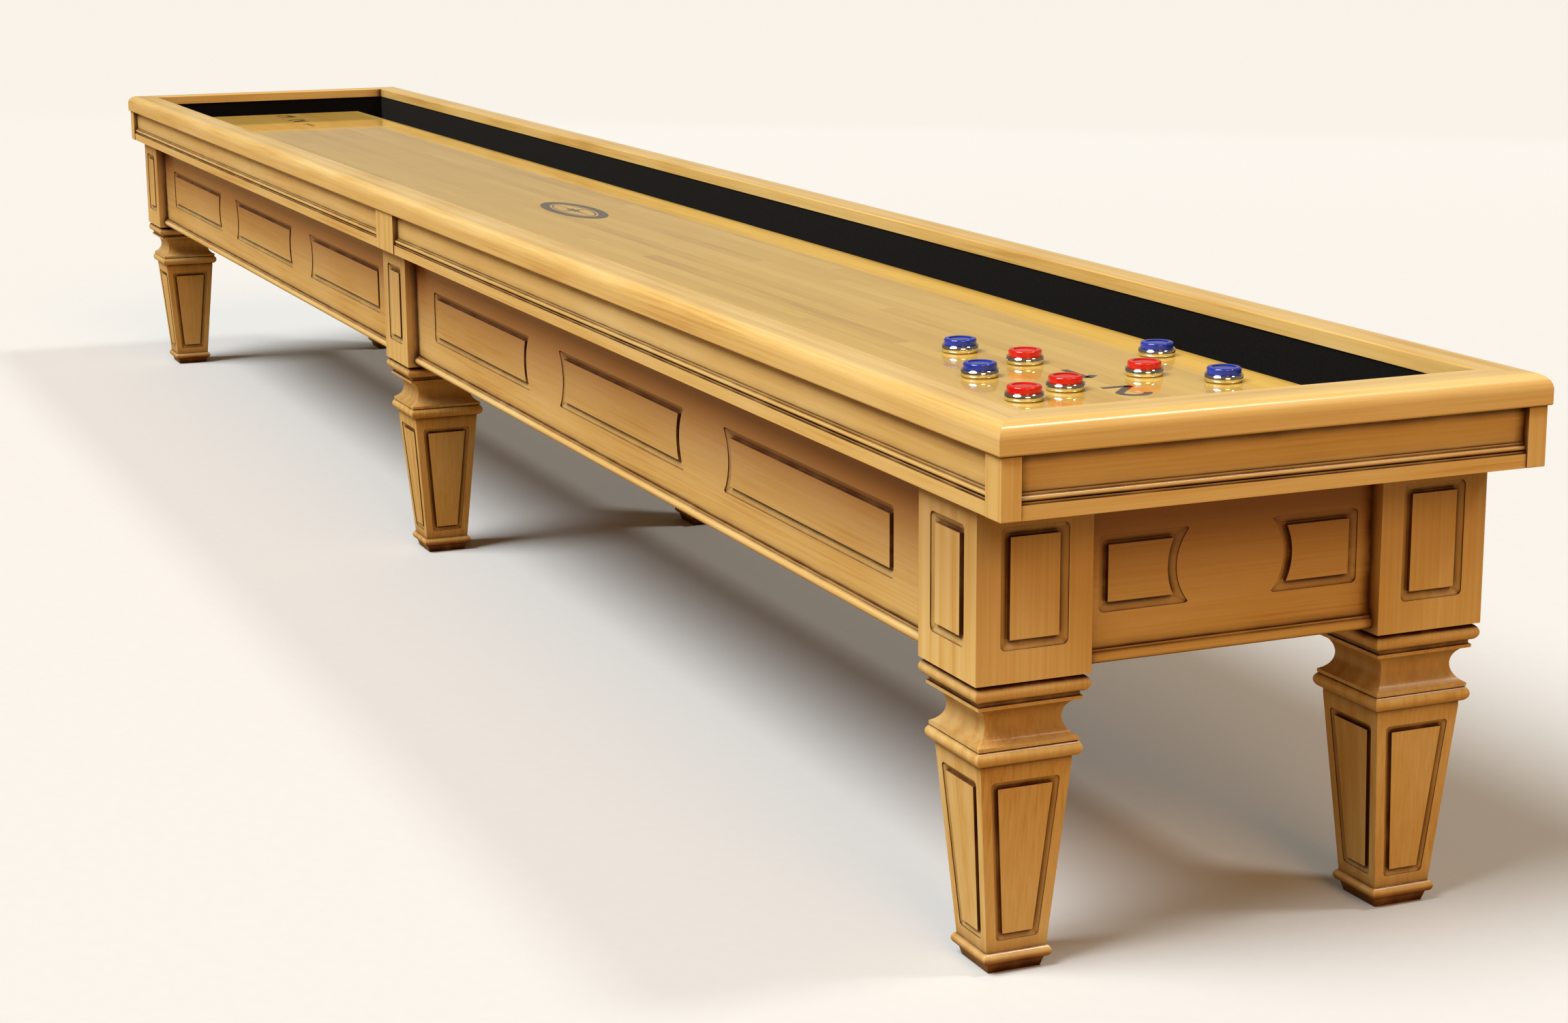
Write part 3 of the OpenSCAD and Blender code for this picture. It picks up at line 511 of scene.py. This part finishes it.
def addPrint(name, loops):
    # each loop is (outer points, inner points or None), turned into a thin plate on the field
    mesh = bmesh.new()
    for outer, inner in loops:
        low = fieldTop + prints["sink"]
        high = fieldTop + prints["rise"]
        rims = [outer] if inner is None else [outer, inner]
        made = []
        for level in (low, high):
            made.append([[mesh.verts.new((px, py, level)) for px, py in rim] for rim in rims])
        count = len(outer)
        for i in range(count):
            j = (i + 1) % count
            for k in range(len(rims)):
                ring = (made[0][k][i], made[0][k][j], made[1][k][j], made[1][k][i])
                mesh.faces.new(ring if k == 0 else ring[::-1])
            if inner is not None:
                mesh.faces.new((made[1][0][i], made[1][0][j], made[1][1][j], made[1][1][i]))
                mesh.faces.new((made[0][0][j], made[0][0][i], made[0][1][i], made[0][1][j]))
        if inner is None:
            mesh.faces.new(made[1][0])
            mesh.faces.new(made[0][0][::-1])
    bmesh.ops.recalc_face_normals(mesh, faces=mesh.faces)
    data = bpy.data.meshes.new(name)
    mesh.to_mesh(data)
    mesh.free()
    data.materials.append(finishes["ink"])
    piece = bpy.data.objects.new(name, data)
    bpy.context.scene.collection.objects.link(piece)
    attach(piece, "table")


def oval(centre, size, count=72):
    return [(centre[0] + 0.5 * size[0] * math.cos(2 * math.pi * i / count),
             centre[1] + 0.5 * size[1] * math.sin(2 * math.pi * i / count)) for i in range(count)]


def ribbon(points, width):
    # outline of a stroke of even width along the points
    left, right = [], []
    for i, (px, py) in enumerate(points):
        before = points[max(i - 1, 0)]
        after = points[min(i + 1, len(points) - 1)]
        dx, dy = after[0] - before[0], after[1] - before[1]
        size = math.hypot(dx, dy)
        left.append((px - dy / size * width / 2, py + dx / size * width / 2))
        right.append((px + dy / size * width / 2, py - dx / size * width / 2))
    return left + right[::-1]


def arcPoints(centre, radius, start, end, count=18):
    return [(centre[0] + radius[0] * math.cos(math.radians(start + (end - start) * i / count)),
             centre[1] + radius[1] * math.sin(math.radians(start + (end - start) * i / count)))
            for i in range(count + 1)]


def numeralStrokes(digit, w, h):
    # strokes in a box w wide and h high round the origin
    if digit == "1":
        return [[(0.0, -h / 2), (0.0, h / 2)], [(-w * 0.36, h * 0.26), (-w * 0.02, h * 0.46)]]
    if digit == "2":
        curve = arcPoints((0.0, h * 0.22), (w * 0.42, h * 0.24), 170, -35)
        return [curve + [(-w * 0.42, -h * 0.42)], [(-w * 0.5, -h * 0.43), (w * 0.5, -h * 0.43)]]
    upper = arcPoints((0.0, h * 0.22), (w * 0.38, h * 0.22), 160, -80)
    lower = arcPoints((0.0, -h * 0.20), (w * 0.44, h * 0.24), 80, -160)
    return [upper, lower]


def makeMedallion():
    cx, cy = prints["medallionPlace"]
    lx, ly = prints["medallionSize"]
    rings = [(oval((cx, cy), (lx, ly)), oval((cx, cy), (lx * 0.76, ly * 0.66)))]
    rings.append((oval((cx, cy), (lx * 0.71, ly * 0.58)), oval((cx, cy), (lx * 0.67, ly * 0.52))))
    star = []
    for i in range(16):
        reach = 1.0 if i % 4 == 0 else (0.42 if i % 2 == 0 else 0.20)
        star.append((cx + lx * 0.33 * reach * math.cos(math.pi * i / 8),
                     cy + ly * 0.25 * reach * math.sin(math.pi * i / 8)))
    addPrint("medallion_rings", rings)
    addPrint("medallion_star", [(star, None)])


def makeNumerals():
    w, h = prints["numeralWidth"], prints["numeralHeight"]
    for end, turn in (("near", 1.0), ("far", -1.0)):
        for digit, reach in prints["numerals"].items():
            for k, stroke in enumerate(numeralStrokes(digit, w, h)):
                # the top of a numeral points to its own end of the table
                line = [(turn * (reach + py), -turn * px) for px, py in stroke]
                addPrint(f"numeral_{end}_{digit}_{k}", [(ribbon(line, prints["stroke"]), None)])


makeMedallion()
makeNumerals()
print("prints made")


# Floor, world and lamps
studio = {
    "floor": "#CCD1D6",
    "floorSpeck": "#C1C6CB",
    "floorBounce": "#957549",
    "floorReach": 90.0,  # metres each way
    "floorGap": 0.0003,  # keeps the floor just under the feet
    "world": "#E6CFA8",
    "worldStrength": 0.22,
    "worldSeen": "#F1EADF",  # what shows above the horizon from low viewpoints
    "lamps": {
        # azimuth and elevation of where the light comes from in degrees, spread in degrees, strength, colour
        "sideKey": (4.0, 53.0, 34.0, 4.05, "#FFFCF6"),
        "endFill": (86.0, 33.0, 26.0, 1.1, "#FFC080"),
        "backKey": (152.0, 58.0, 9.0, 0.85, "#FFF8EC"),
    },
    # a wide soft panel behind the table, which gives the flat tops their pale gloss
    "panelPlace": (-8.0, 6.5, 2.6),
    "panelSize": (13.0, 4.0),
    "panelWatts": 27.0,
}


def makeStage():
    material, tree = newTree("paleFloor")
    place = addNode(tree, "TexCoord", out=3)
    speck = addNode(tree, "TexNoise", {"Vector": place, "Scale": 40.0, "Detail": 3.0})
    shade = addNode(tree, "MapRange", {0: speck, 1: 0.3, 2: 0.7, 3: 0.0, 4: 0.15})
    colour = addNode(tree, "Mix", {0: shade, 6: linear(studio["floor"]), 7: linear(studio["floorSpeck"])}, 2,
                     data_type="RGBA")
    # the floor looks pale, but throws back light as a brown one does, so shaded wood stays warm
    seen = addNode(tree, "LightPath", out=0)
    colour = addNode(tree, "Mix", {0: seen, 6: linear(studio["floorBounce"]), 7: colour}, 2, data_type="RGBA")
    shader = addNode(tree, "BsdfPrincipled", {"Base Color": colour, "Roughness": 0.85,
                                              "Specular IOR Level": 0.1})
    addNode(tree, "OutputMaterial", {"Surface": shader})
    reach = studio["floorReach"]
    mesh = bpy.data.meshes.new("floor")
    mesh.from_pydata([(-reach, -reach, 0), (reach, -reach, 0), (reach, reach, 0), (-reach, reach, 0)], [],
                     [(0, 1, 2, 3)])
    mesh.materials.append(material)
    floor = bpy.data.objects.new("floor", mesh)
    floor.location.z = cadLow.z - studio["floorGap"]
    bpy.context.scene.collection.objects.link(floor)
    world = bpy.data.worlds.new("studio")
    world.use_nodes = True
    world.node_tree.nodes.clear()
    sky = world.node_tree
    seen = addNode(sky, "LightPath", out=0)
    colour = addNode(sky, "Mix", {0: seen, 6: linear(studio["world"]), 7: linear(studio["worldSeen"])}, 2,
                     data_type="RGBA")
    strength = addNode(sky, "MapRange", {0: seen, 3: studio["worldStrength"], 4: 1.0})
    light = addNode(sky, "Background", {"Color": colour, "Strength": strength})
    addNode(sky, "OutputWorld", {"Surface": light})
    bpy.context.scene.world = world


def makeLamps():
    for name, (azimuth, elevation, spread, strength, colour) in studio["lamps"].items():
        data = bpy.data.lights.new(name, "SUN")
        data.angle = math.radians(spread)
        data.energy = strength
        data.color = linear(colour)[:3]
        turn, tilt = math.radians(azimuth), math.radians(elevation)
        source = Vector((math.sin(turn) * math.cos(tilt), -math.cos(turn) * math.cos(tilt), math.sin(tilt)))
        lamp = bpy.data.objects.new(name, data)
        lamp.rotation_mode = "QUATERNION"
        lamp.rotation_quaternion = source.to_track_quat("Z", "Y")
        bpy.context.scene.collection.objects.link(lamp)
    data = bpy.data.lights.new("backPanel", "AREA")
    data.shape = "RECTANGLE"
    data.size, data.size_y = studio["panelSize"]
    data.energy = studio["panelWatts"]
    panel = bpy.data.objects.new("backPanel", data)
    panel.location = studio["panelPlace"]
    panel.rotation_mode = "QUATERNION"
    panel.rotation_quaternion = Vector((-panel.location.x, -panel.location.y, 0.0)).to_track_quat("-Z", "Y")
    panel.visible_camera = False
    bpy.context.scene.collection.objects.link(panel)


makeStage()
makeLamps()
bpy.context.scene.view_settings.view_transform = "Standard"
print("stage and lamps made")
